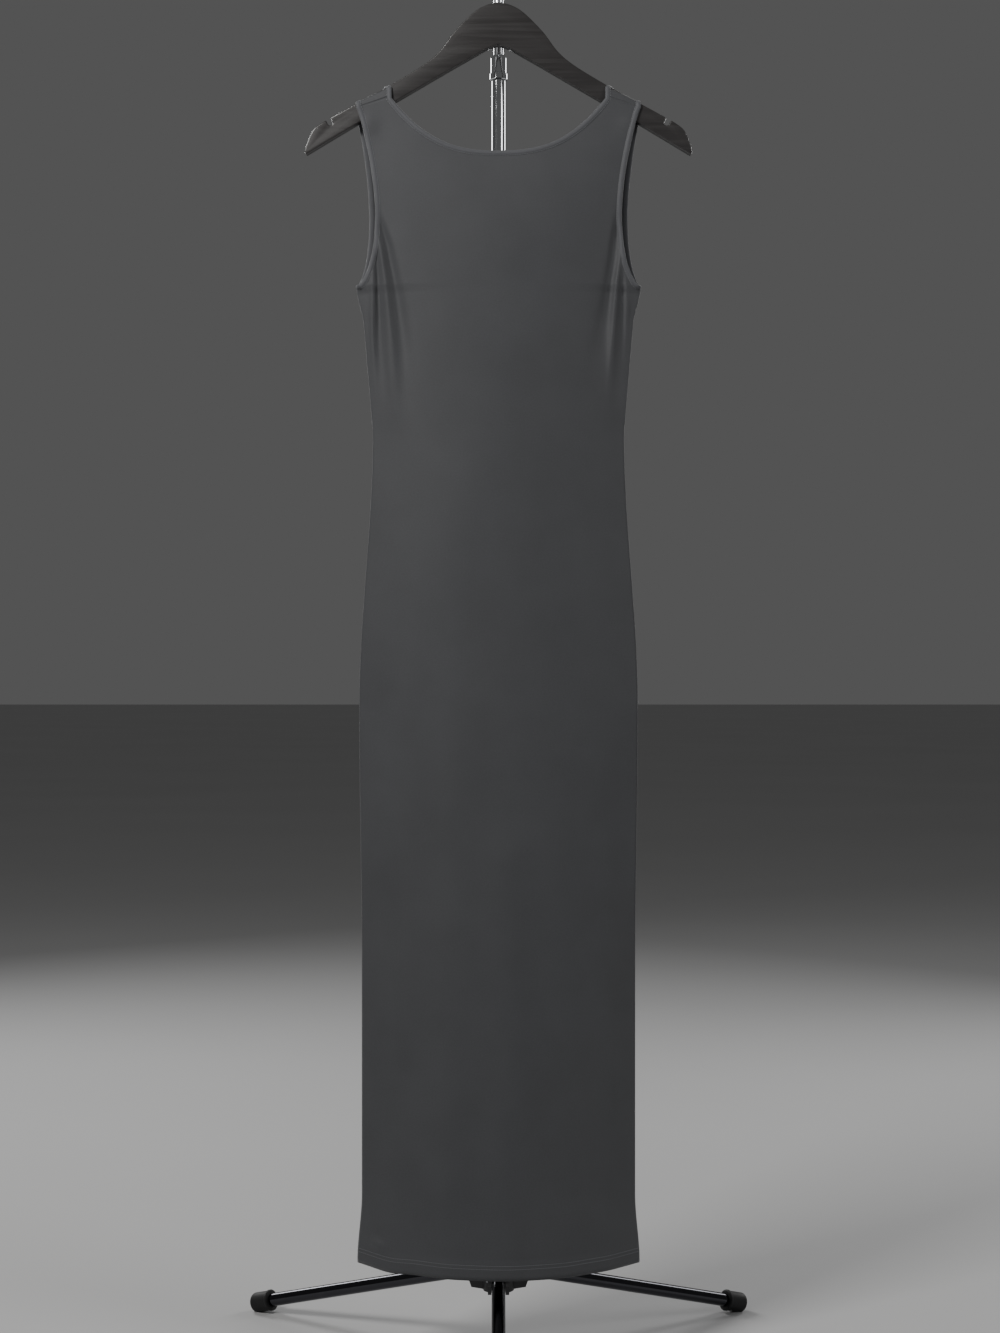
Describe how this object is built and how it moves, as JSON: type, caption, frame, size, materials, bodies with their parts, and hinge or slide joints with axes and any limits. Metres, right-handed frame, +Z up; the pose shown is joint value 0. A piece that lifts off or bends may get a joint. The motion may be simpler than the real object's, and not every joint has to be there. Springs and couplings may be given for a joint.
{
  "type": "garment display stand",
  "caption": "Telescopic chrome mast on a folding black tripod, with a wooden hanger that carries a long sleeveless jersey dress.",
  "frame": {"origin": "on the floor under the middle of the footprint", "axes": "+Z up, the dress faces -Y, +X to the viewer's right"},
  "size_m": [0.6158, 0.5359, 1.6277],
  "materials": {
    "black_nylon": "moulded nylon, satin",
    "zinc_steel": "zinc plated",
    "blackened_steel": "blackened",
    "black_tube": "black nickel plate, gloss",
    "rubber": "moulded rubber, matt",
    "chrome_tube": "polished chrome plate",
    "acetal": "natural acetal",
    "black_wire": "black nickel plate",
    "black_wood": "black stain and satin lacquer",
    "jersey": "smooth viscose jersey, slight sheen",
    "jersey_binding": "jersey binding, edge stitched"
  },
  "bodies": {
    "stand": {"tripod_hub": "black_nylon", "hinge_pins": "zinc_steel", "hinge_pin_rings": "blackened_steel", "hub_screw": "blackened_steel", "lower_tube": "chrome_tube", "clamp_body": "black_nylon", "clamp_bush": "acetal", "clamp_pad": "acetal"},
    "leg_front": {"leg_tube_front": "black_tube", "leg_knuckle_front": "black_nylon", "foot_cap_front": "rubber"},
    "leg_right": {"leg_tube_right": "black_tube", "leg_knuckle_right": "black_nylon", "foot_cap_right": "rubber"},
    "leg_left": {"leg_tube_left": "black_tube", "leg_knuckle_left": "black_nylon", "foot_cap_left": "rubber"},
    "knob": {"clamp_stud": "zinc_steel", "clamp_knob": "black_nylon"},
    "mast": {"middle_tube": "chrome_tube", "middle_tube_guide": "acetal", "collar_ring": "chrome_tube", "collar_collet": "acetal"},
    "collar": {"collar_sleeve": "chrome_tube"},
    "top_post": {"top_tube": "chrome_tube", "top_tube_guide": "acetal", "head_block": "chrome_tube", "head_screw": "blackened_steel", "hook_peg": "chrome_tube"},
    "hook": {"hanger_hook": "black_wire"},
    "hanger": {"hook_bush": "zinc_steel", "hanger_body": "black_wood", "dress_front": "jersey", "dress_back": "jersey", "neck_binding": "jersey_binding", "armhole_binding_left": "jersey_binding", "armhole_binding_right": "jersey_binding"}
  },
  "joints": [
    {"name": "leg_front_fold", "type": "hinge", "parent": "stand", "child": "leg_front", "pos_m": [0, 0.05453, 0.09489], "axis": [1, 0, 0], "range_deg": [0, 74]},
    {"name": "leg_right_fold", "type": "hinge", "parent": "stand", "child": "leg_right", "pos_m": [0.02555, 0.09878, 0.09489], "axis": [-0.5, 0.866, 0], "range_deg": [0, 74]},
    {"name": "leg_left_fold", "type": "hinge", "parent": "stand", "child": "leg_left", "pos_m": [-0.02555, 0.09878, 0.09489], "axis": [-0.5, -0.866, 0], "range_deg": [0, 74]},
    {"name": "clamp_knob_turn", "type": "hinge", "parent": "stand", "child": "knob", "pos_m": [0, 0.08403, 0.80239], "axis": [0, 1, 0], "range_deg": [0, 270]},
    {"name": "mast_raise", "type": "slide", "parent": "stand", "child": "mast", "axis": [0, 0, 1], "range_m": [0, 0.17]},
    {"name": "collar_twist", "type": "hinge", "parent": "mast", "child": "collar", "pos_m": [0, 0.08403, 1.49589], "axis": [0, 0, 1], "range_deg": [0, 90]},
    {"name": "top_raise", "type": "slide", "parent": "mast", "child": "top_post", "axis": [0, 0, 1], "range_m": [0, 0.17]},
    {"name": "hook_slide", "type": "slide", "parent": "top_post", "child": "hook", "axis": [0, -0.9903, 0.1392], "range_m": [0, 0.034]},
    {"name": "hanger_swivel", "type": "hinge", "parent": "hook", "child": "hanger", "pos_m": [0, 0.05003, 1.56189], "axis": [0, 0, 1], "range_deg": [-15, 15]}
  ]
}
